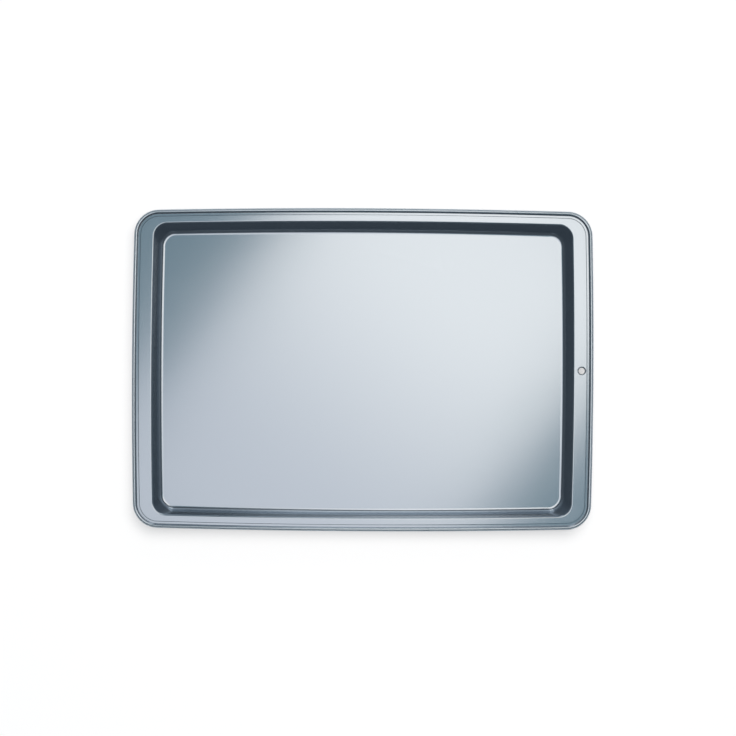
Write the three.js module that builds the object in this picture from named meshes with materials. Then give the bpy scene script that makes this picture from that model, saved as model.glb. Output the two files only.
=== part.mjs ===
// A shallow cookie sheet: one drawn steel sheet with a flat flange, whose edge is rolled round a wire.
// Millimetres, +Z up. The pan stands on z = 0, centred on the origin, with its long way along X.
import * as THREE from "three";
import { toCreasedNormals } from "three/addons/utils/BufferGeometryUtils.js";

// Overall sizes
const overallLength = 440; // along X, over the rolled edge
const overallWidth = 308; // along Y, over the rolled edge
const flangeHeight = 18; // top of the flange above the table, at its outside
const flangeLean = 1.2; // degrees that the flange rises outwards
const sheetThickness = 0.5;

// Plan view
const sideTurn = 1.4; // degrees that each side turns either way from its middle, which bows it out a little
const rimCornerRadius = 24; // outside of the rolled edge
const lipCornerRadius = 12; // where the planes of wall and flange meet
const floorCornerRadius = 13; // where the planes of wall and floor meet
const wallRun = 4.3; // how far the wall leans out between floor and flange
const sideFlatWidth = 4.9; // flat part of the flange on the long sides

// Bends of the sheet, each measured on its inner side
const floorBendRadius = 5; // floor to wall
const lipBendRadius = 1.3; // wall to flange
const stepBendRadius = 0.6; // both bends of the step at the outside of the flange
const stepDrop = 0.12; // how far the step drops from the flange to the ledge
const ledgeWidth = 1.7; // flat ledge between the step and the rolled edge
const beadRootRadius = 0.35; // ledge to rolled edge
const beadRise = 1.6; // top of the rolled edge above the flange
const curlEnd = 240; // degrees from the top of the rolled edge, over its outside, to the sheet's cut edge

// Wire inside the rolled edge
const wireDiameter = 2.5;
const wireClearance = 0.3; // between wire and sheet
const wireEndGap = 1; // between the wire's two ends, at the middle of the front side

// Hang hole in one short side's flange, with its edge turned down
const holeDiameter = 5.9;
const holeBendRadius = 0.75; // under the flange, where the edge turns down
const holeCollarLength = 0.65; // straight part of the turned-down edge
const holeOuterMargin = 0.15; // flat flange left between the hole's bend and the step
const holeInnerMargin = 2.45; // flat flange left between the hole's bend and the wall's

// Facets: steps along the plan's sides and corners, and round the bends
const endSideSteps = 4;
const longSideSteps = 6;
const cornerSteps = 8;
const floorBendSteps = 4;
const lipBendSteps = 3;
const stepBendSteps = 2;
const beadRootSteps = 3;
const beadSteps = 17;
const holeSteps = 24;
const holeBendSteps = 4;
const wireSides = 12;

// Finishes
const coating = { color: 0xc8ced4, metalness: 1, roughness: 0.2 };
const plainSteel = { color: 0x9a9c9e, metalness: 1, roughness: 0.45 };
const creaseAngle = 28; // degrees between faces that still look like one smooth surface

// Directions in a section are measured from straight up, turning outwards
const straightDown = Math.PI;
const turn = THREE.MathUtils.degToRad(sideTurn);
const lean = THREE.MathUtils.degToRad(flangeLean);
const curlTurn = THREE.MathUtils.degToRad(curlEnd);

// Each bend touches a level of the sheet's upper face. Its centre lies above the sheet or below it.
// The bends at the lip and the hang hole are measured from the leaning flange, and the others from the table.
const ledgeLevel = flangeHeight - stepDrop;
const beadRadius = wireDiameter / 2 + wireClearance + sheetThickness;
const floorBend = bendAbove(floorBendRadius, sheetThickness);
const lipBend = bendBelow(lipBendRadius, 0);
const stepTopBend = bendBelow(stepBendRadius, flangeHeight);
const stepFootBend = bendAbove(stepBendRadius, ledgeLevel);
const rootBend = bendAbove(beadRootRadius, ledgeLevel);
const beadBend = bendBelow(beadRadius - sheetThickness, flangeHeight + beadRise);
const holeBend = bendBelow(holeBendRadius, 0);

// Offsets of the rim's bends from the outside of the pan. The root touches the bead, the step's bends meet.
const beadOut = -beadRadius;
const rootRise = rootBend.up - beadBend.up;
const rootReach = Math.sqrt((beadRadius + beadRootRadius) ** 2 - rootRise ** 2);
const rootTurn = Math.atan2(rootReach, rootRise);
const rootOut = beadOut - rootReach;
const stepRadii = stepTopBend.upper + stepFootBend.upper;
const stepTurn = Math.acos(1 - stepDrop / stepRadii);
const stepFootOut = rootOut - ledgeWidth;
const stepTopOut = stepFootOut - stepRadii * Math.sin(stepTurn);

// Where the flange's flat part ends and the step's bend starts
const flatEdgeOut = stepTopOut - stepTopBend.upper * Math.sin(lean);
const flatEdgeUp = stepTopBend.up + stepTopBend.upper * Math.cos(lean);

// The flange's flat part on the short sides is as wide as the hang hole needs
const holeRadius = holeDiameter / 2;
const holeRingRadius = holeRadius + holeBend.upper;
const endFlatWidth = holeInnerMargin + 2 * holeRingRadius + holeOuterMargin;
const holeCentre = new THREE.Vector2(overallLength / 2 + stepTopOut - holeOuterMargin - holeRingRadius, 0);

// Plan outlines: outside of the pan, top of the wall and foot of the wall
const lipMargin = lipReach(Math.atan2(flangeHeight - sheetThickness, wallRun));
const lipHalfLength = overallLength / 2 + stepTopOut - endFlatWidth - lipMargin;
const lipHalfWidth = overallWidth / 2 + stepTopOut - sideFlatWidth - lipMargin;
const rimOutline = makeOutline(overallLength / 2, overallWidth / 2, rimCornerRadius);
const lipOutline = makeOutline(lipHalfLength, lipHalfWidth, lipCornerRadius);
const floorOutline = makeOutline(lipHalfLength - wallRun, lipHalfWidth - wallRun, floorCornerRadius);

function bendAbove(innerRadius, level) {
  return { upper: innerRadius, lower: innerRadius + sheetThickness, up: level + innerRadius };
}

function bendBelow(innerRadius, level) {
  const outerRadius = innerRadius + sheetThickness;
  return { upper: outerRadius, lower: innerRadius, up: level - outerRadius };
}

// Height of the flange's upper face, at a distance out from the outside of the pan
function flangeLevel(out) {
  return flatEdgeUp + (out - flatEdgeOut) * Math.tan(lean);
}

// How far the lip's bend reaches along the flange from where the planes of wall and flange meet
function lipReach(wallTurn) {
  return lipBend.upper * Math.tan((wallTurn - lean) / 2);
}

// A rounded rectangle with bowed sides, as a function of the direction that its edge faces.
// Each side is a long arc that meets the corner arcs smoothly, so an equal offset of the outline is exact.
function makeOutline(halfLength, halfWidth, cornerRadius) {
  const bulge = 1 - Math.cos(turn);
  const reach = Math.sin(turn);
  const spanX = halfLength - cornerRadius;
  const spanY = halfWidth - cornerRadius;
  const share = reach ** 2 - bulge ** 2;
  const endExtra = (spanY * reach - spanX * bulge) / share;
  const longExtra = (spanX * reach - spanY * bulge) / share;
  const corner = new THREE.Vector2(longExtra * reach, endExtra * reach);
  const endSide = new THREE.Vector2(spanX - endExtra, 0);
  const longSide = new THREE.Vector2(0, spanY - longExtra);
  return (angle) => {
    const facing = new THREE.Vector2(Math.cos(angle), Math.sin(angle));
    const folded = new THREE.Vector2(Math.abs(facing.x), Math.abs(facing.y));
    let centre = corner;
    let radius = cornerRadius;
    if (folded.y < reach) {
      centre = endSide;
      radius = cornerRadius + endExtra;
    } else if (folded.x < reach) {
      centre = longSide;
      radius = cornerRadius + longExtra;
    }
    const point = folded.multiplyScalar(radius).add(centre);
    return point.set(point.x * Math.sign(facing.x), point.y * Math.sign(facing.y));
  };
}

// The directions that the sections face, once round from the start of the +X side
function stationAngles() {
  const angles = [];
  for (let quarter = 0; quarter < 4; quarter++) {
    const start = (quarter * Math.PI) / 2 - turn;
    const sideSteps = quarter % 2 === 0 ? endSideSteps : longSideSteps;
    for (let i = 0; i < sideSteps; i++) {
      angles.push(start + (2 * turn * i) / sideSteps);
    }
    const cornerTurn = Math.PI / 2 - 2 * turn;
    for (let i = 0; i < cornerSteps; i++) {
      angles.push(start + 2 * turn + (cornerTurn * i) / cornerSteps);
    }
  }
  return angles;
}

// A point at a height, out from a point of the plan in the direction of an angle
function placed(planPoint, angle, out, up) {
  return new THREE.Vector3(planPoint.x + out * Math.cos(angle), planPoint.y + out * Math.sin(angle), up);
}

// Adds one bend's points on the sheet's two faces to a section
function addBend(section, bend, planPoint, out, [from, to], steps) {
  for (let i = 0; i <= steps; i++) {
    const direction = from + ((to - from) * i) / steps;
    const at = (radius) => {
      const across = out + radius * Math.sin(direction);
      return placed(planPoint, section.angle, across, bend.up + radius * Math.cos(direction));
    };
    section.upper.push(at(bend.upper));
    section.lower.push(at(bend.lower));
  }
}

// The sheet's section at one station, from the edge of the flat floor to the cut edge of the roll.
// It is a chain of six bends, and straight runs join them.
function sheetSection(angle) {
  const section = { angle, upper: [], lower: [] };
  const floorEdge = floorOutline(angle);
  const lipEdge = lipOutline(angle);
  const rimEdge = rimOutline(angle);
  const facing = new THREE.Vector2(Math.cos(angle), Math.sin(angle));
  const lipLevel = flangeLevel(lipEdge.clone().sub(rimEdge).dot(facing));
  const run = lipEdge.clone().sub(floorEdge).dot(facing);
  const wallTurn = Math.atan2(lipLevel - sheetThickness, run);
  const floorOut = -floorBend.upper * Math.tan(wallTurn / 2);
  const lipCentre = new THREE.Vector2(lipReach(wallTurn), lipBend.up).rotateAround(new THREE.Vector2(), lean);
  const raisedLipBend = { ...lipBend, up: lipLevel + lipCentre.y };
  addBend(section, floorBend, floorEdge, floorOut, [straightDown, straightDown - wallTurn], floorBendSteps);
  addBend(section, raisedLipBend, lipEdge, lipCentre.x, [-wallTurn, -lean], lipBendSteps);
  addBend(section, stepTopBend, rimEdge, stepTopOut, [-lean, stepTurn], stepBendSteps);
  addBend(section, stepFootBend, rimEdge, stepFootOut, [straightDown + stepTurn, straightDown], stepBendSteps);
  addBend(section, rootBend, rimEdge, rootOut, [straightDown, straightDown - rootTurn], beadRootSteps);
  addBend(section, beadBend, rimEdge, beadOut, [-rootTurn, curlTurn], beadSteps);
  return section;
}

// Triangles that join each loop of points to the next loop. leaveOut says which quads stay open.
function skin(loops, closed, leaveOut) {
  const corners = [];
  const spans = closed ? loops.length : loops.length - 1;
  for (let i = 0; i < spans; i++) {
    const here = loops[i];
    const next = loops[(i + 1) % loops.length];
    for (let k = 0; k < here.length; k++) {
      const after = (k + 1) % here.length;
      if (!leaveOut(i, k)) {
        corners.push(here[k], here[after], next[after], here[k], next[after], next[k]);
      }
    }
  }
  return corners;
}

// Triangles that fill a ring and meet at its middle
function fan(middle, ring) {
  return ring.flatMap((point, i) => [middle, point, ring[(i + 1) % ring.length]]);
}

// A face inside a contour and outside a hole, which is flat as seen from above
function flatFace(contour, hole, facesUp) {
  const points = [...contour, ...hole];
  const flat = (list) => list.map((point) => new THREE.Vector2(point.x, point.y));
  const faces = THREE.ShapeUtils.triangulateShape(flat(contour), [flat(hole)]);
  return faces.flatMap((face) => {
    const triangle = face.map((index) => points[index]);
    const turnsLeft = THREE.ShapeUtils.area(triangle) > 0;
    return turnsLeft === facesUp ? triangle : triangle.reverse();
  });
}

// The hang hole's turned-down edge: rings from the flange's upper face, round the edge, to its lower face.
// Each point follows the lean of the flange.
function holeRings() {
  const bendProfile = (radius) =>
    Array.from({ length: holeBendSteps + 1 }, (_, i) => {
      const direction = ((Math.PI / 2) * i) / holeBendSteps;
      return [holeRingRadius - radius * Math.sin(direction), holeBend.up + radius * Math.cos(direction)];
    });
  const collarEnd = holeBend.up - holeCollarLength;
  const profile = [
    ...bendProfile(holeBend.upper),
    [holeRadius, collarEnd],
    [holeRadius + sheetThickness, collarEnd],
    ...bendProfile(holeBend.lower).reverse(),
  ];
  return profile.map(([radius, up]) =>
    Array.from({ length: holeSteps }, (_, i) => {
      const around = (-2 * Math.PI * i) / holeSteps;
      const point = placed(holeCentre, around, radius, up);
      return point.setZ(up + flangeLevel(point.x - overallLength / 2));
    }),
  );
}

// The whole sheet: floor, walls, flange and rolled edge, with the hang hole in the +X flange
function panSheet() {
  const sections = stationAngles().map(sheetSection);
  const loops = sections.map((section) => [...section.upper, ...section.lower.toReversed()]);
  const loopLength = loops[0].length;
  const flangeInner = floorBendSteps + lipBendSteps + 1;
  const flangeOuter = flangeInner + 1;
  const holePanels = [flangeInner, loopLength - 1 - flangeOuter];
  const isOpen = (i, k) => k === loopLength - 1 || (i < endSideSteps && holePanels.includes(k));
  const corners = skin(loops, true, isOpen);

  const floorTop = sections.map((section) => section.upper[0]);
  const floorUnderside = sections.map((section) => section.lower[0]).reverse();
  corners.push(...fan(new THREE.Vector3(0, 0, sheetThickness), floorTop));
  corners.push(...fan(new THREE.Vector3(0, 0, 0), floorUnderside));

  const panelSections = sections.slice(0, endSideSteps + 1);
  const panelContour = (face) => [
    ...panelSections.map((section) => section[face][flangeOuter]),
    ...panelSections.map((section) => section[face][flangeInner]).reverse(),
  ];
  const rings = holeRings();
  corners.push(...flatFace(panelContour("upper"), rings[0], true));
  corners.push(...flatFace(panelContour("lower"), rings.at(-1), false));
  const ringLoops = rings[0].map((_, i) => rings.map((ring) => ring[i]));
  corners.push(...skin(ringLoops, true, (i, k) => k === rings.length - 1));
  return corners;
}

// The wire, bent to the rim's outline inside the roll, with its ends a small gap apart
function rimWire() {
  const front = (3 * Math.PI) / 2;
  const fullTurn = 2 * Math.PI;
  const halfGapTurn = ((wireEndGap / 2) * turn) / (overallLength / 2 - rimCornerRadius);
  const fromFront = stationAngles()
    .map((angle) => THREE.MathUtils.euclideanModulo(angle - front, fullTurn))
    .filter((angle) => angle > 2 * halfGapTurn && angle < fullTurn - 2 * halfGapTurn)
    .sort((a, b) => a - b);
  const angles = [halfGapTurn, ...fromFront, fullTurn - halfGapTurn].map((angle) => angle + front);
  const wireRadius = wireDiameter / 2;
  const loops = angles.map((angle) =>
    Array.from({ length: wireSides }, (_, i) => {
      const around = (2 * Math.PI * i) / wireSides;
      const out = beadOut + wireRadius * Math.sin(around);
      return placed(rimOutline(angle), angle, out, beadBend.up + wireRadius * Math.cos(around));
    }),
  );
  const middle = (angle) => placed(rimOutline(angle), angle, beadOut, beadBend.up);
  return [
    ...skin(loops, false, () => false),
    ...fan(middle(angles[0]), loops[0].toReversed()),
    ...fan(middle(angles.at(-1)), loops.at(-1)),
  ];
}

function solidMesh(name, corners, finish) {
  const faceted = new THREE.BufferGeometry().setFromPoints(corners);
  const geometry = toCreasedNormals(faceted, THREE.MathUtils.degToRad(creaseAngle));
  const mesh = new THREE.Mesh(geometry, new THREE.MeshStandardMaterial(finish));
  mesh.name = name;
  return mesh;
}

const cookieSheet = new THREE.Group();
cookieSheet.add(solidMesh("pan_sheet", panSheet(), coating), solidMesh("rim_wire", rimWire(), plainSteel));

export default cookieSheet;
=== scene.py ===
import math

import bpy
from mathutils import Matrix, Vector
from mathutils.geometry import tessellate_polygon


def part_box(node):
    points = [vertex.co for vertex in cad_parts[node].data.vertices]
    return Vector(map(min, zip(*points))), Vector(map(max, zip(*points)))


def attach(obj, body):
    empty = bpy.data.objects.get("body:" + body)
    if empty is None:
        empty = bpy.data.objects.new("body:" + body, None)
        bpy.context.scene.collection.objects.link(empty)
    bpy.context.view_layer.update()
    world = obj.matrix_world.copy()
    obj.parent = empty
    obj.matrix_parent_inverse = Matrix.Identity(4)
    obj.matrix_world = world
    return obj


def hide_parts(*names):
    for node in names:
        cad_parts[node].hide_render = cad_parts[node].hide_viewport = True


# The cookie sheet's looks: a finely faceted sheet and wire in place of the solids, their finishes, and a
# plain studio. Metres, in the frame of the solids: the pan stands on z = 0, centred on the origin, with
# its long way along X.
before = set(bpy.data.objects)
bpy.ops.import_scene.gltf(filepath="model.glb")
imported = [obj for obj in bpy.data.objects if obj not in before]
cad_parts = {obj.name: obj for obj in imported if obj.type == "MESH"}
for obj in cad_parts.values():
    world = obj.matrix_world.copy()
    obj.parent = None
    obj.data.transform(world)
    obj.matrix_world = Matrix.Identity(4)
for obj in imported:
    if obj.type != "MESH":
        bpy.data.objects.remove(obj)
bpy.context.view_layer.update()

MM = 0.001
FULL_TURN = 2 * math.pi
QUARTER_TURN = math.pi / 2

# Overall sizes, from the solids
_, pan_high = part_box("pan_sheet")
HALF_LENGTH = pan_high.x
HALF_WIDTH = pan_high.y
BEAD_TOP = pan_high.z

# The sheet's section, as in the solids apart from the floor's corners
SHEET = 0.5 * MM
BEAD_RISE = 1.6 * MM  # top of the rolled edge above the flange
FLANGE_HEIGHT = BEAD_TOP - BEAD_RISE
SIDE_TURN = math.radians(1.4)  # each side turns this much either way from its middle, which bows it out
RIM_CORNER_RADIUS = 24 * MM
LIP_CORNER_RADIUS = 12 * MM
FLOOR_CORNER_RADIUS = 16 * MM  # 13 in the solids: the photograph shows rounder corners
WALL_RUN = 4.3 * MM
SIDE_FLAT_WIDTH = 4.9 * MM
FLANGE_LEAN = math.radians(1.2)  # the flange rises outwards
FLOOR_BEND_RADIUS = 5.0 * MM
LIP_BEND_RADIUS = 1.3 * MM
STEP_BEND_RADIUS = 0.6 * MM
STEP_DROP = 0.12 * MM
LEDGE_WIDTH = 1.7 * MM
BEAD_ROOT_RADIUS = 0.35 * MM
CURL_TURN = math.radians(240)  # from the top of the rolled edge, over its outside, to the cut edge

# Wire inside the rolled edge, and the hang hole with its edge turned down
WIRE_RADIUS = 1.25 * MM
WIRE_CLEARANCE = 0.3 * MM
WIRE_END_GAP = 1 * MM
HOLE_RADIUS = 2.95 * MM
HOLE_BEND_RADIUS = 0.75 * MM
HOLE_COLLAR_LENGTH = 0.65 * MM
HOLE_OUTER_MARGIN = 0.15 * MM
HOLE_INNER_MARGIN = 2.45 * MM

# Facets
END_SIDE_STEPS = 16
LONG_SIDE_STEPS = 24
CORNER_STEPS = 28
FLOOR_BEND_STEPS = 12
LIP_BEND_STEPS = 10
STEP_BEND_STEPS = 6
BEAD_ROOT_STEPS = 8
BEAD_STEPS = 48
HOLE_STEPS = 72
HOLE_BEND_STEPS = 10
HOLE_PANEL_STEPS = 1  # side steps of flange to either side of the hole that its panel takes in
WIRE_SIDES = 24
SHARP_ANGLE = math.radians(40)

# State of the coat, with its wear, painted highlights and painted shade, held at each point of the sheet
HOLE_PAINTED_SHADE = -1.0  # darker: painted shade in the hang hole's turned-down edge
EVEN = 0.0
# Thinned by wear and paler, the paleness also a painted highlight
WORN_AND_HIGHLIT = 1.0
SCUFFED_AND_HIGHLIT = 2.0  # thinned by wear and dull as well, and lighter still as a painted highlight

# Finishes. A noise is given as ripples to the metre and detail, a relief as its depth.
FLAKE_NOISE = (2600, 1)
PEEL_NOISE = (420, 2)
CLOUD_NOISE = (9, 3)
COAT_COLOURS = ((0.56, 0.61, 0.66), (0.59, 0.64, 0.69))
FLAKE_COLOUR = (0.515, 0.565, 0.615)
FLAKE_SHARE = 0.35
# The bends' paler coat: wear, and a painted highlight as well
WORN_HIGHLIGHT_COLOUR = (0.82, 0.90, 0.95)
WORN_HIGHLIGHT_SHARE = 0.45
# Painted shade for the hang hole's turned-down edge
HOLE_SHADE_COLOUR = (0.38, 0.42, 0.46)
COAT_ROUGHNESS = (0.15, 0.21)
SCUFF_ROUGHNESS = 0.6  # on top of the coat's own
FLAKE_RELIEF = 0.002 * MM
PEEL_RELIEF = 0.004 * MM
GRAIN_NOISE = (1500, 3)
STEEL_COLOURS = ((0.46, 0.46, 0.47), (0.60, 0.60, 0.61))
STEEL_ROUGHNESS = (0.32, 0.5)
GRAIN_RELIEF = 0.01 * MM

# Table
TABLE_SIZE = 40.0
TABLE_GAP = 0.1 * MM  # under the pan's base, so that the two faces don't coincide
TABLE_COLOUR = (0.9, 0.9, 0.9)
TABLE_GLOW = 0.79  # what it shows to the camera and in reflections, on top of the light that falls on it
SHADED_GLOW = 0.34  # the same deep under the pan
GLOW_TINT = (1, 0.98, 0.965)
SHADE_SHIFT = (-3 * MM, -5 * MM, 0)  # the shade lies away from the lamps
SHADE_REACH = 12 * MM  # past the rim

# Surround, as the pan reflects it, and as the camera sees it
BRIGHT_SIDE = (0.25, 0.97, 0)  # a direction
BRIGHT_SIDE_START = -0.3  # along that direction, where the dim side ends
BRIGHT_HORIZON = (0.28, 0.325, 0.37)
DIM_HORIZON = (0.075, 0.09, 0.105)
SKY = (0.08, 0.095, 0.11)
SKY_RISE = (0.35, 0.6)  # where the horizon ends and the sky starts, as the upward part of a direction
BACKDROP = (0.86, 0.86, 0.86)

# Lamps
SOFTBOX_CENTRE = (0.083, 0.121, 1.52)
SOFTBOX_SIZE = (1.40, 0.815)
SOFTBOX_TURN = math.radians(52.9)
SOFTBOX_RAMP = (-0.40, 0.33)  # along its length, where it starts and ends to grow brighter
SOFTBOX_NEAR = (0.895, 0.905, 0.95)
SOFTBOX_FAR = (1.38, 1.345, 1.30)
CEILING = {
    "centre": (0.05, 0, 1.7),
    "size": (1.6, 1.4),
    "radiance": 0.29,
    "colour": (0.57, 0.87, 1),
}
BACK_PANEL = {
    "centre": (0.1, 1.007, 1.611),
    "size": (0.7, 0.55),
    "radiance": 0.3,
    "colour": (0.93, 0.97, 1),
    "aim": (0, 0, 0),
}
BACK_WALL = {
    "centre": (0.1, 1.69, 0.616),
    "size": (0.6, 1.03),
    "radiance": 0.5,
    "colour": (0.93, 0.97, 1),
    "aim": (0, 0, 0),
}

# The photograph's frame, in pixels
FRAME_PX = 736
PAN_LENGTH_PX = 461.8
PAN_CENTRE_PX = (362.2, 369.6)
PAN_ROLL = math.radians(0.3)  # the pan's right end sits a little lower in the frame

# Camera, straight above a point in front of the pan's middle and left of it
CAMERA_FOOT = Vector((-0.030, -0.086))
CAMERA_RISE = 1.0  # above the flange
SENSOR_WIDTH = 36  # millimetres, as the camera's lens is

# Directions in a section turn from 0, which is up, outwards
STRAIGHT_DOWN = math.pi


def bend_above(inner_radius, level):
    """A bend whose centre lies above the sheet, touching its upper face at a level."""
    outer_radius = inner_radius + SHEET
    return {"upper": inner_radius, "lower": outer_radius, "up": level + inner_radius, "coat": EVEN}


def bend_below(inner_radius, level, coat):
    """A bend whose centre lies below the sheet, touching its upper face at a level. Its coat is in the
    given state halfway round."""
    outer_radius = inner_radius + SHEET
    return {"upper": outer_radius, "lower": inner_radius, "up": level - outer_radius, "coat": coat}


# Bends of the section. Those at the lip and the hang hole are measured from the leaning flange.
ledge_level = FLANGE_HEIGHT - STEP_DROP
bead_radius = WIRE_RADIUS + WIRE_CLEARANCE + SHEET
floor_bend = bend_above(FLOOR_BEND_RADIUS, SHEET)
# The lip, the step's top and the rolled edge are paler halfway round: wear, and a painted highlight
lip_bend = bend_below(LIP_BEND_RADIUS, 0, WORN_AND_HIGHLIT)
step_top_bend = bend_below(STEP_BEND_RADIUS, FLANGE_HEIGHT, WORN_AND_HIGHLIT)
step_foot_bend = bend_above(STEP_BEND_RADIUS, ledge_level)
root_bend = bend_above(BEAD_ROOT_RADIUS, ledge_level)
bead_bend = bend_below(bead_radius - SHEET, BEAD_TOP, SCUFFED_AND_HIGHLIT)
# The hang hole's turned-down edge is painted darker, a painted shade
hole_bend = bend_below(HOLE_BEND_RADIUS, 0, HOLE_PAINTED_SHADE)

# Their offsets from the outside of the pan. The root touches the bead, and the step's bends meet.
bead_out = -bead_radius
root_rise = root_bend["up"] - bead_bend["up"]
root_reach = math.sqrt((bead_radius + BEAD_ROOT_RADIUS) ** 2 - root_rise**2)
root_turn = math.atan2(root_reach, root_rise)
root_out = bead_out - root_reach
step_radii = step_top_bend["upper"] + step_foot_bend["upper"]
step_turn = math.acos(1 - STEP_DROP / step_radii)
step_foot_out = root_out - LEDGE_WIDTH
step_top_out = step_foot_out - step_radii * math.sin(step_turn)

# Where the flange's flat part ends and the step's bend starts
flat_edge_out = step_top_out - step_top_bend["upper"] * math.sin(FLANGE_LEAN)
flat_edge_up = step_top_bend["up"] + step_top_bend["upper"] * math.cos(FLANGE_LEAN)


def flange_level(out):
    """Height of the flange's upper face, at a distance out from the outside of the pan."""
    return flat_edge_up + (out - flat_edge_out) * math.tan(FLANGE_LEAN)


def lip_reach(wall_turn):
    """How far the lip's bend reaches along the flange from where the planes of wall and flange meet."""
    return lip_bend["upper"] * math.tan((wall_turn - FLANGE_LEAN) / 2)


# Plan: the short sides' flat flange is as wide as the hang hole needs
hole_ring_radius = HOLE_RADIUS + hole_bend["upper"]
end_flat_width = HOLE_INNER_MARGIN + 2 * hole_ring_radius + HOLE_OUTER_MARGIN
hole_centre = Vector((HALF_LENGTH + step_top_out - HOLE_OUTER_MARGIN - hole_ring_radius, 0))
lip_margin = lip_reach(math.atan2(FLANGE_HEIGHT - SHEET, WALL_RUN))
lip_half_length = HALF_LENGTH + step_top_out - end_flat_width - lip_margin
lip_half_width = HALF_WIDTH + step_top_out - SIDE_FLAT_WIDTH - lip_margin


def make_outline(half_length, half_width, corner_radius):
    """A rounded rectangle with bowed sides, as a function of the direction that its edge faces."""
    bulge = 1 - math.cos(SIDE_TURN)
    reach = math.sin(SIDE_TURN)
    span_x = half_length - corner_radius
    span_y = half_width - corner_radius
    share = reach**2 - bulge**2
    end_extra = (span_y * reach - span_x * bulge) / share
    long_extra = (span_x * reach - span_y * bulge) / share

    def outline(angle):
        facing = Vector((math.cos(angle), math.sin(angle)))
        folded = Vector((abs(facing.x), abs(facing.y)))
        if folded.y < reach:
            point = Vector((span_x - end_extra, 0)) + folded * (corner_radius + end_extra)
        elif folded.x < reach:
            point = Vector((0, span_y - long_extra)) + folded * (corner_radius + long_extra)
        else:
            point = Vector((long_extra * reach, end_extra * reach)) + folded * corner_radius
        return Vector((math.copysign(point.x, facing.x), math.copysign(point.y, facing.y)))

    return outline


rim_outline = make_outline(HALF_LENGTH, HALF_WIDTH, RIM_CORNER_RADIUS)
lip_outline = make_outline(lip_half_length, lip_half_width, LIP_CORNER_RADIUS)
floor_outline = make_outline(lip_half_length - WALL_RUN, lip_half_width - WALL_RUN, FLOOR_CORNER_RADIUS)


def station_angles():
    """The directions that the sections face, once round from the start of the +X side."""
    corner_turn = QUARTER_TURN - 2 * SIDE_TURN
    angles = []
    for quarter in range(4):
        side_start = quarter * QUARTER_TURN - SIDE_TURN
        side_steps = END_SIDE_STEPS if quarter % 2 == 0 else LONG_SIDE_STEPS
        angles += [side_start + 2 * SIDE_TURN * i / side_steps for i in range(side_steps)]
        corner_start = side_start + 2 * SIDE_TURN
        angles += [corner_start + corner_turn * i / CORNER_STEPS for i in range(CORNER_STEPS)]
    return angles


def placed(plan_point, angle, out, up):
    """A point at a height, out from a point of the plan in the direction of an angle."""
    return Vector((plan_point.x + out * math.cos(angle), plan_point.y + out * math.sin(angle), up))


def sheet_section(angle):
    """The sheet's section at one station, from the edge of the flat floor to the cut edge of the roll."""
    section = {"upper": [], "lower": [], "coat": []}
    floor_edge = floor_outline(angle)
    lip_edge = lip_outline(angle)
    rim_edge = rim_outline(angle)
    facing = Vector((math.cos(angle), math.sin(angle)))
    lip_level = flange_level((lip_edge - rim_edge).dot(facing))
    wall_turn = math.atan2(lip_level - SHEET, (lip_edge - floor_edge).dot(facing))
    wall_down = STRAIGHT_DOWN - wall_turn
    step_down = STRAIGHT_DOWN + step_turn
    root_down = STRAIGHT_DOWN - root_turn
    floor_out = -floor_bend["upper"] * math.tan(wall_turn / 2)
    lip_centre = Matrix.Rotation(FLANGE_LEAN, 2) @ Vector((lip_reach(wall_turn), lip_bend["up"]))
    raised_lip_bend = {**lip_bend, "up": lip_level + lip_centre.y}

    def add_bend(bend, plan_point, out, start, end, steps):
        for i in range(steps + 1):
            direction = start + (end - start) * i / steps
            for face in ("upper", "lower"):
                across = out + bend[face] * math.sin(direction)
                up = bend["up"] + bend[face] * math.cos(direction)
                section[face].append(placed(plan_point, angle, across, up))
            section["coat"].append(bend["coat"] * math.sin(math.pi * i / steps))

    add_bend(floor_bend, floor_edge, floor_out, STRAIGHT_DOWN, wall_down, FLOOR_BEND_STEPS)
    add_bend(raised_lip_bend, lip_edge, lip_centre.x, -wall_turn, -FLANGE_LEAN, LIP_BEND_STEPS)
    add_bend(step_top_bend, rim_edge, step_top_out, -FLANGE_LEAN, step_turn, STEP_BEND_STEPS)
    add_bend(step_foot_bend, rim_edge, step_foot_out, step_down, STRAIGHT_DOWN, STEP_BEND_STEPS)
    add_bend(root_bend, rim_edge, root_out, STRAIGHT_DOWN, root_down, BEAD_ROOT_STEPS)
    add_bend(bead_bend, rim_edge, bead_out, -root_turn, CURL_TURN, BEAD_STEPS)
    return section


class Surface:
    """Points, faces and the state of the coat at each point, gathered for one mesh."""

    def __init__(self):
        self.points = []
        self.faces = []
        self.coat = []

    def add_points(self, points, coat=None):
        """Adds points, with an even coat unless another is given, and returns their indices."""
        first = len(self.points)
        self.points += points
        self.coat += coat or [EVEN] * len(points)
        return list(range(first, len(self.points)))

    def add_skin(self, loops, closed, is_open=lambda i, k: False):
        """Quads that join each loop of points to the next loop, apart from those left open."""
        spans = len(loops) if closed else len(loops) - 1
        for i in range(spans):
            here = loops[i]
            after = loops[(i + 1) % len(loops)]
            for k in range(len(here)):
                following = (k + 1) % len(here)
                if not is_open(i, k):
                    self.faces.append((here[k], here[following], after[following], after[k]))

    def add_panel(self, contour, hole, faces_up):
        """A face inside a contour and outside a hole, which is flat as seen from above."""
        corners = contour + hole
        loops = [[self.points[i] for i in contour], [self.points[i] for i in hole]]
        for triangle in tessellate_polygon(loops):
            a, b, c = (self.points[corners[i]] for i in triangle)
            turns_left = (b - a).cross(c - a).z > 0
            ordered = triangle if turns_left == faces_up else triangle[::-1]
            self.faces.append(tuple(corners[i] for i in ordered))


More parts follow.
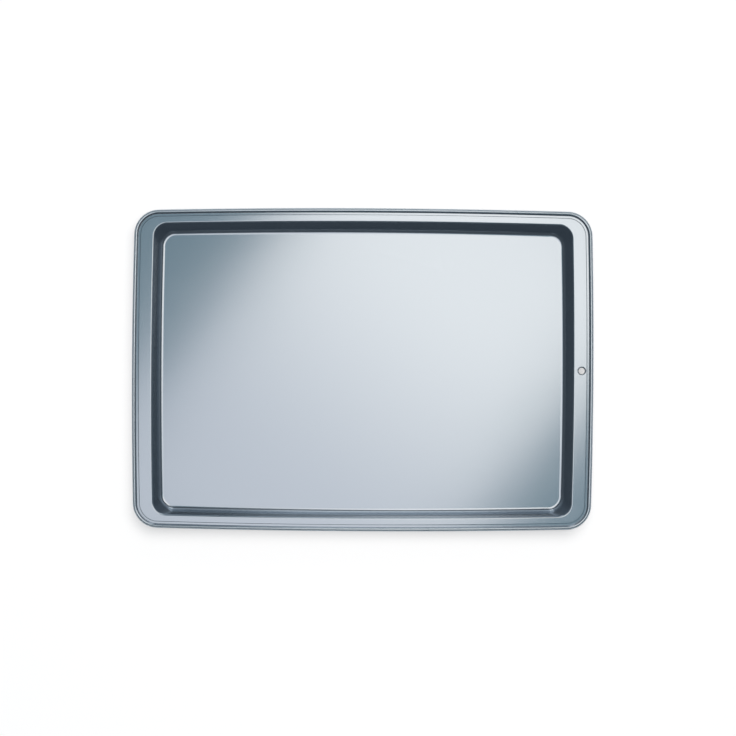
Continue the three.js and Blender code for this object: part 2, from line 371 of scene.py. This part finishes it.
def hole_rings():
    """The hang hole's turned-down edge: rings from the flange's upper face, round the edge, to its lower
    face. Each point follows the lean of the flange."""

    def bend_profile(radius):
        profile = []
        for i in range(HOLE_BEND_STEPS + 1):
            turn = QUARTER_TURN * i / HOLE_BEND_STEPS
            from_centre = hole_ring_radius - radius * math.sin(turn)
            profile.append((from_centre, hole_bend["up"] + radius * math.cos(turn)))
        return profile

    collar_end = hole_bend["up"] - HOLE_COLLAR_LENGTH
    profile = bend_profile(hole_bend["upper"])
    profile += [(HOLE_RADIUS, collar_end), (HOLE_RADIUS + SHEET, collar_end)]
    profile += bend_profile(hole_bend["lower"])[::-1]
    rings = []
    for from_centre, up in profile:
        ring = []
        for i in range(HOLE_STEPS):
            point = placed(hole_centre, -FULL_TURN * i / HOLE_STEPS, from_centre, up)
            point.z += flange_level(point.x - HALF_LENGTH)
            ring.append(point)
        rings.append(ring)
    return rings


def pan_surface():
    """The whole sheet: floor, walls, flange and rolled edge, with the hang hole in the +X flange."""
    surface = Surface()
    loops = []
    for angle in station_angles():
        section = sheet_section(angle)
        points = section["upper"] + section["lower"][::-1]
        coat = section["coat"] + [EVEN] * len(section["lower"])
        loops.append(surface.add_points(points, coat))
    loop_length = len(loops[0])
    flange_inner = FLOOR_BEND_STEPS + LIP_BEND_STEPS + 1
    flange_outer = flange_inner + 1
    middle = END_SIDE_STEPS // 2
    panel_stations = range(middle - HOLE_PANEL_STEPS, middle + HOLE_PANEL_STEPS + 1)

    def beneath(k):
        """The place in a loop of the lower face's point beneath one of the upper face."""
        return loop_length - 1 - k

    def is_open(i, k):
        in_panel = i in panel_stations[:-1] and k in (flange_inner, beneath(flange_outer))
        return in_panel or k == loop_length - 1

    surface.add_skin(loops, True, is_open)
    surface.faces.append([loop[0] for loop in loops])
    surface.faces.append([loop[-1] for loop in reversed(loops)])

    hole_edge = hole_rings()
    rings = []
    for i, ring in enumerate(hole_edge):
        in_flange = i in (0, len(hole_edge) - 1)
        # The hole's bend takes the painted shade
        coat = EVEN if in_flange else hole_bend["coat"]
        rings.append(surface.add_points(ring, [coat] * len(ring)))
    ring_loops = [list(points) for points in zip(*rings)]

    def add_hole_panel(ring, inner, outer, faces_up):
        outer_edge = [loops[i][outer] for i in panel_stations]
        inner_edge = [loops[i][inner] for i in reversed(panel_stations)]
        surface.add_panel(outer_edge + inner_edge, ring, faces_up)

    add_hole_panel(rings[0], flange_inner, flange_outer, True)
    add_hole_panel(rings[-1], beneath(flange_inner), beneath(flange_outer), False)
    surface.add_skin(ring_loops, True, lambda i, k: k == len(rings) - 1)
    return surface


def wire_surface():
    """The wire, bent to the rim's outline inside the roll, with its ends a small gap apart at the front."""
    front = 3 * QUARTER_TURN
    half_gap_turn = WIRE_END_GAP / 2 * SIDE_TURN / (HALF_LENGTH - RIM_CORNER_RADIUS)
    from_front = sorted((angle - front) % FULL_TURN for angle in station_angles())
    clear = [turn for turn in from_front if 2 * half_gap_turn < turn < FULL_TURN - 2 * half_gap_turn]
    surface = Surface()
    loops = []
    for turn in [half_gap_turn, *clear, FULL_TURN - half_gap_turn]:
        facing = front + turn
        loop = []
        for i in range(WIRE_SIDES):
            direction = FULL_TURN * i / WIRE_SIDES
            out = bead_out + WIRE_RADIUS * math.sin(direction)
            up = bead_bend["up"] + WIRE_RADIUS * math.cos(direction)
            loop.append(placed(rim_outline(facing), facing, out, up))
        loops.append(surface.add_points(loop))
    surface.add_skin(loops, False)
    surface.faces += [loops[0][::-1], loops[-1]]
    return surface


def add_piece(name, surface, material, node):
    """Makes an object of a surface, in place of a node of the solids."""
    mesh = bpy.data.meshes.new(name)
    mesh.from_pydata(surface.points, [], surface.faces)
    # Each point's coat state, which carries wear, painted highlights and painted shade
    coat = mesh.attributes.new("coat_and_painted_light", "FLOAT", "POINT")
    coat.data.foreach_set("value", surface.coat)
    mesh.shade_smooth()
    mesh.set_sharp_from_angle(angle=SHARP_ANGLE)
    mesh.materials.append(material)
    piece = bpy.data.objects.new(name, mesh)
    bpy.context.collection.objects.link(piece)
    normals = piece.modifiers.new("level flats", "WEIGHTED_NORMAL")
    normals.keep_sharp = True
    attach(piece, "root")
    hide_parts(node)


class Nodes:
    """A node tree, with short ways to add nodes. What they take is a fixed value or another node's output."""

    def __init__(self, tree):
        self.tree = tree

    def add(self, kind, **settings):
        """A new node of a kind, with some of its settings."""
        made = self.tree.nodes.new(kind)
        for key, value in settings.items():
            setattr(made, key, value)
        return made

    def feed(self, entry, value):
        """Joins an output to an input, or sets the input to a number, a vector or an opaque colour."""
        if isinstance(value, bpy.types.NodeSocket):
            self.tree.links.new(value, entry)
        else:
            entry.default_value = (*value, 1) if entry.type == "RGBA" else value

    def math(self, operation, first, second):
        """A sum on two numbers."""
        made = self.add("ShaderNodeMath", operation=operation)
        self.feed(made.inputs[0], first)
        self.feed(made.inputs[1], second)
        return made.outputs[0]

    def vector_math(self, operation, first, second=(0, 0, 0)):
        """A sum on vectors. Its result is a number for a length and a dot product, otherwise a vector."""
        made = self.add("ShaderNodeVectorMath", operation=operation)
        self.feed(made.inputs[0], first)
        self.feed(made.inputs[1], second)
        return made.outputs["Value" if operation in ("LENGTH", "DOT_PRODUCT") else "Vector"]

    def place(self, space):
        """The place that is shaded, in a space such as the object's own."""
        return self.add("ShaderNodeTexCoord").outputs[space]

    def along(self, axis, vector):
        """The part of a vector along an axis."""
        parts = self.add("ShaderNodeSeparateXYZ")
        self.feed(parts.inputs[0], vector)
        return parts.outputs[axis]

    def noise(self, scale, detail):
        """Noise in the object's own space, with so many ripples to the metre."""
        texture = self.add("ShaderNodeTexNoise")
        self.feed(texture.inputs["Vector"], self.place("Object"))
        self.feed(texture.inputs["Scale"], scale)
        self.feed(texture.inputs["Detail"], detail)
        return texture.outputs["Fac"]

    def remap(self, value, low, high):
        """A value from 0 to 1 brought to a range, and held at its ends."""
        ranged = self.add("ShaderNodeMapRange")
        self.feed(ranged.inputs["Value"], value)
        self.feed(ranged.inputs["To Min"], low)
        self.feed(ranged.inputs["To Max"], high)
        return ranged.outputs["Result"]

    def ease(self, value, start, end):
        """A smooth rise from 0 to 1 as a value goes from start to end."""
        eased = self.add("ShaderNodeMapRange", interpolation_type="SMOOTHSTEP")
        self.feed(eased.inputs["Value"], value)
        self.feed(eased.inputs["From Min"], start)
        self.feed(eased.inputs["From Max"], end)
        return eased.outputs["Result"]

    def mix(self, factor, first, second):
        """A colour between two colours."""
        mixed = self.add("ShaderNodeMix", data_type="RGBA")
        colours = [entry for entry in mixed.inputs if entry.type == "RGBA"]
        self.feed(mixed.inputs["Factor"], factor)
        self.feed(colours[0], first)
        self.feed(colours[1], second)
        return next(output for output in mixed.outputs if output.type == "RGBA")

    def shown_rays(self):
        """1 for rays that come from the camera, straight or by way of shiny or clear surfaces alone,
        otherwise 0."""
        path = self.add("ShaderNodeLightPath")
        shown = path.outputs["Is Camera Ray"]
        for kind in ("Is Glossy Ray", "Is Transmission Ray"):
            shown = self.math("MAXIMUM", shown, path.outputs[kind])
        not_scattered = self.math("LESS_THAN", path.outputs["Diffuse Depth"], 0.5)
        return self.math("MULTIPLY", shown, not_scattered)


class Shader(Nodes):
    """The nodes of a new material."""

    def __init__(self, name):
        self.material = bpy.data.materials.new(name)
        self.material.use_nodes = True
        super().__init__(self.material.node_tree)

    def bump(self, height, depth, below=None):
        """A small relief, on top of another where one is given."""
        relief = self.add("ShaderNodeBump")
        self.feed(relief.inputs["Height"], height)
        self.feed(relief.inputs["Distance"], depth)
        if below:
            self.feed(relief.inputs["Normal"], below)
        return relief.outputs["Normal"]

    def set_surface(self, values):
        """Sets the surface's inputs, by their names."""
        entries = self.tree.nodes["Principled BSDF"].inputs
        for name, value in values.items():
            self.feed(entries[name], value)


def coating_material():
    """Satin metallic coating: fine flakes and a faint orange-peel relief. It is paler on the bends, where
    wear thins it and a highlight is painted in, duller where it is scuffed, and darker in the hang hole's
    turned-down edge, a painted shade."""
    shader = Shader("nonstick coating")
    flakes = shader.noise(*FLAKE_NOISE)
    peel = shader.noise(*PEEL_NOISE)
    clouds = shader.noise(*CLOUD_NOISE)
    state = shader.add("ShaderNodeAttribute", attribute_name="coat_and_painted_light").outputs["Fac"]
    clouded = shader.mix(clouds, *COAT_COLOURS)
    speckled = shader.mix(shader.remap(flakes, 0, FLAKE_SHARE), clouded, FLAKE_COLOUR)
    # Paler on the bends: wear, and a painted highlight
    highlit_and_worn = shader.mix(shader.math("MULTIPLY", state, WORN_HIGHLIGHT_SHARE), speckled, WORN_HIGHLIGHT_COLOUR)
    # Darker in the hang hole's turned-down edge: painted shade
    with_hole_shade = shader.mix(shader.math("MULTIPLY", state, 1 / HOLE_PAINTED_SHADE), highlit_and_worn, HOLE_SHADE_COLOUR)
    scuffs = shader.remap(shader.math("SUBTRACT", state, WORN_AND_HIGHLIT), 0, SCUFF_ROUGHNESS)
    shader.set_surface(
        {
            "Base Color": with_hole_shade,
            "Metallic": 1.0,
            "Roughness": shader.math("ADD", shader.remap(clouds, *COAT_ROUGHNESS), scuffs),
            "Normal": shader.bump(flakes, FLAKE_RELIEF, shader.bump(peel, PEEL_RELIEF)),
        }
    )
    return shader.material


def wire_material():
    """Plain drawn steel, a little dull."""
    shader = Shader("steel wire")
    grain = shader.noise(*GRAIN_NOISE)
    shader.set_surface(
        {
            "Base Color": shader.mix(grain, *STEEL_COLOURS),
            "Metallic": 1.0,
            "Roughness": shader.remap(grain, *STEEL_ROUGHNESS),
            "Normal": shader.bump(grain, GRAIN_RELIEF),
        }
    )
    return shader.material


def table_material():
    """White. It glows to show as white, less so in the shade under the pan and close round it."""
    shader = Shader("white table")
    shade_place = shader.vector_math("SUBTRACT", shader.place("Object"), SHADE_SHIFT)
    core = (HALF_LENGTH - RIM_CORNER_RADIUS, HALF_WIDTH - RIM_CORNER_RADIUS, 0)
    past_core = shader.vector_math("SUBTRACT", shader.vector_math("ABSOLUTE", shade_place), core)
    distance = shader.vector_math("LENGTH", shader.vector_math("MAXIMUM", past_core))
    lit = shader.ease(distance, 0, RIM_CORNER_RADIUS + SHADE_REACH)
    glow = shader.remap(lit, SHADED_GLOW, TABLE_GLOW)
    shader.set_surface(
        {
            "Base Color": TABLE_COLOUR,
            "Roughness": 1.0,
            "Specular IOR Level": 0.0,
            "Emission Color": GLOW_TINT,
            "Emission Strength": shader.math("MULTIPLY", glow, shader.shown_rays()),
        }
    )
    return shader.material


def softbox_material():
    """Light that grows brighter and warmer towards the softbox's far end."""
    shader = Shader("softbox")
    ramp = shader.ease(shader.along("X", shader.place("Object")), *SOFTBOX_RAMP)
    shader.set_surface(
        {
            "Base Color": (0, 0, 0),
            "Specular IOR Level": 0.0,
            "Emission Color": shader.mix(ramp, SOFTBOX_NEAR, SOFTBOX_FAR),
            "Emission Strength": 1.0,
        }
    )
    return shader.material


def add_stage_sheet(name, size, material, centre, turn=0, in_view=True):
    """A level rectangle of the studio, which the camera sees unless it is kept out of view."""
    half_length = size[0] / 2
    half_width = size[1] / 2
    corners = [
        (-half_length, -half_width, 0),
        (half_length, -half_width, 0),
        (half_length, half_width, 0),
        (-half_length, half_width, 0),
    ]
    mesh = bpy.data.meshes.new(name)
    mesh.from_pydata(corners, [], [(0, 1, 2, 3)])
    mesh.materials.append(material)
    sheet = bpy.data.objects.new(name, mesh)
    sheet.location = centre
    sheet.rotation_euler = (0, 0, turn)
    sheet.visible_camera = in_view
    bpy.context.collection.objects.link(sheet)


def add_panel_light(name, centre, size, radiance, colour, aim=None):
    """A soft panel. It faces straight down, unless it has a point to aim at."""
    light = bpy.data.lights.new(name, "AREA")
    light.shape = "RECTANGLE"
    light.size, light.size_y = size
    light.energy = radiance * math.pi * size[0] * size[1]
    light.color = colour
    panel = bpy.data.objects.new(name, light)
    panel.location = centre
    if aim is not None:
        panel.rotation_euler = (Vector(aim) - Vector(centre)).to_track_quat("-Z", "Y").to_euler()
    panel.visible_camera = False
    bpy.context.collection.objects.link(panel)


def add_world():
    """A dim surround with a brighter horizon behind the pan. The camera itself sees a pale backdrop."""
    world = bpy.data.worlds.new("studio")
    bpy.context.scene.world = world
    world.use_nodes = True
    nodes = Nodes(world.node_tree)
    direction = nodes.place("Generated")
    brightness = nodes.ease(nodes.vector_math("DOT_PRODUCT", direction, BRIGHT_SIDE), BRIGHT_SIDE_START, 1)
    horizon = nodes.mix(brightness, DIM_HORIZON, BRIGHT_HORIZON)
    surround = nodes.mix(nodes.ease(nodes.along("Z", direction), *SKY_RISE), horizon, SKY)
    is_camera_ray = nodes.add("ShaderNodeLightPath").outputs["Is Camera Ray"]
    entries = world.node_tree.nodes["Background"].inputs
    nodes.feed(entries["Color"], nodes.mix(is_camera_ray, surround, BACKDROP))
    nodes.feed(entries["Strength"], 1.0)


def add_camera():
    """Looks straight down. The lens is shifted, so that the pan sits in the frame as in the photograph."""
    metres_per_px = 2 * HALF_LENGTH / PAN_LENGTH_PX
    frame_width = FRAME_PX * metres_per_px
    half_frame = FRAME_PX / 2
    frame_middle = Vector((half_frame - PAN_CENTRE_PX[0], PAN_CENTRE_PX[1] - half_frame)) * metres_per_px
    camera = bpy.data.cameras.new("camera")
    camera.sensor_width = SENSOR_WIDTH
    camera.lens = SENSOR_WIDTH * CAMERA_RISE / frame_width
    camera.shift_x = (frame_middle.x - CAMERA_FOOT.x) / frame_width
    camera.shift_y = (frame_middle.y - CAMERA_FOOT.y) / frame_width
    holder = bpy.data.objects.new("camera", camera)
    holder.location = (CAMERA_FOOT.x, CAMERA_FOOT.y, FLANGE_HEIGHT + CAMERA_RISE)
    holder.rotation_euler = (0, 0, PAN_ROLL)
    bpy.context.collection.objects.link(holder)
    bpy.context.scene.camera = holder


add_piece("coated_sheet", pan_surface(), coating_material(), "pan_sheet")
add_piece("stiffening_wire", wire_surface(), wire_material(), "rim_wire")

add_stage_sheet("table", (TABLE_SIZE, TABLE_SIZE), table_material(), (0, 0, -TABLE_GAP))
add_stage_sheet("softbox", SOFTBOX_SIZE, softbox_material(), SOFTBOX_CENTRE, SOFTBOX_TURN, in_view=False)
add_panel_light("ceiling", **CEILING)
add_panel_light("back panel", **BACK_PANEL)
add_panel_light("back wall", **BACK_WALL)
add_world()
add_camera()
bpy.context.scene.view_settings.view_transform = "Standard"
